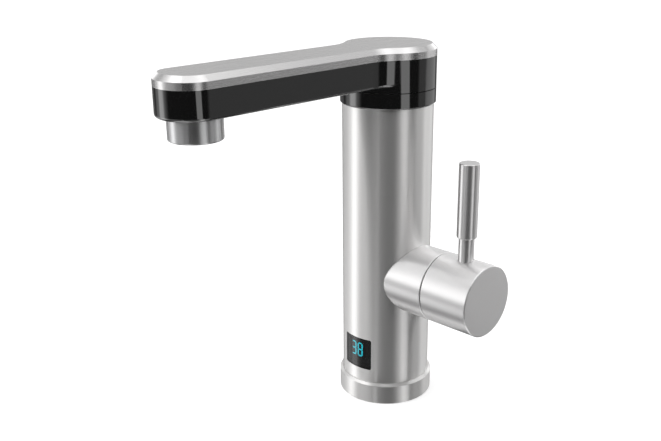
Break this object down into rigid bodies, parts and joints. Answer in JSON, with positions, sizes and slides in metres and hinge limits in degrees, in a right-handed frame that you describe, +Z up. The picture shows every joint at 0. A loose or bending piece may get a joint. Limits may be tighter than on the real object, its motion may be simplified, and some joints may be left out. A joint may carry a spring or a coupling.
{
  "type": "electric instant water heater tap",
  "caption": "Electric instant water heater tap: round column with a heater and a digital display, flat spout that swivels on top, and a side knob with an upright lever.",
  "frame": {"origin": "centre of the base's underside, in the mouth of the water inlet", "axes": "+Z up along the column, -Y along the spout towards the outlet, +X along the side handle; the display faces -Y"},
  "size_m": [0.1176, 0.2077, 0.2434],
  "materials": {
    "brushed_steel": "vertical-brushed stainless steel",
    "base_steel": "turned and satin-polished stainless steel",
    "satin_metal": "turned, satin",
    "cover_metal": "brushed along the spout, satin",
    "grip_metal": "turned, satin",
    "polished_metal": "plated, satin-bright",
    "black_gloss": "gloss moulded",
    "smoked_lens": "smoked, polished",
    "lit_digits": "lit light guide",
    "brass": "machined",
    "steel": "plain stainless steel",
    "white_plastic": "moulded",
    "grey_plastic": "glass-filled, moulded",
    "black_plastic": "moulded",
    "ceramic": "lapped alumina",
    "rubber": "smooth",
    "silicone": "silicone hose",
    "board": "solder-masked board",
    "blue_case": "moulded case"
  },
  "bodies": {
    "column": {"base_ring": "base_steel", "base_gasket": "rubber", "base_chassis": "grey_plastic", "base_screws": "steel", "inlet_socket": "brass", "inlet_nut": "brass", "cord_gland": "black_plastic", "inlet_hose": "silicone", "column_shell": "brushed_steel", "display_window": "smoked_lens", "display_digits": "lit_digits", "display_module": "black_plastic", "display_board": "board", "board_carrier": "white_plastic", "control_board": "board", "power_relay": "blue_case", "filter_capacitor": "blue_case", "valve_body": "brass", "stub_sleeve": "satin_metal", "guide_ring": "black_plastic", "cartridge_seal": "rubber", "fixed_disc": "ceramic", "cartridge_body": "white_plastic", "cartridge_nut": "brass", "switch_cap": "grey_plastic", "diaphragm": "rubber", "plunger_spring": "steel", "micro_switch": "black_plastic", "link_hose": "silicone", "heater_chamber": "grey_plastic", "heater_seal": "rubber", "heater_cap": "grey_plastic", "cap_screws": "steel", "heating_element": "steel", "thermal_cutout": "black_plastic", "temperature_probe": "brass", "outlet_hose": "silicone", "swivel_ring": "black_gloss", "swivel_spigot": "brass", "spigot_orings": "rubber", "glide_washer": "white_plastic", "swivel_nut": "steel"},
    "spout": {"spout_shell": "black_gloss", "spout_cover": "cover_metal", "cover_screws": "steel", "hub_socket": "brass", "water_tube": "silicone", "outlet_elbow": "white_plastic", "aerator_housing": "polished_metal", "aerator_insert": "white_plastic", "aerator_seal": "rubber"},
    "handle": {"knob_shell": "satin_metal", "lever_stem": "grip_metal", "lever_grip": "grip_metal", "spindle": "brass", "moving_disc": "ceramic", "grub_screw": "steel", "screw_plug": "satin_metal"},
    "flow_plunger": {"flow_plunger": "white_plastic"}
  },
  "joints": [
    {"name": "spout_swivel", "type": "hinge", "parent": "column", "child": "spout", "pos_m": [0, 0, 0.2265], "axis": [0, 0, 1], "continuous": true},
    {"name": "handle_turn", "type": "hinge", "parent": "column", "child": "handle", "pos_m": [0.0676, 0, 0.0887], "axis": [1, 0, 0], "range_deg": [-90, 90]},
    {"name": "plunger_slide", "type": "slide", "parent": "column", "child": "flow_plunger", "axis": [-1, 0, 0], "range_m": [0, 0.0015], "stiffness_N_per_m": 100, "springref_m": -0.004, "deforming": ["plunger_spring"]}
  ]
}
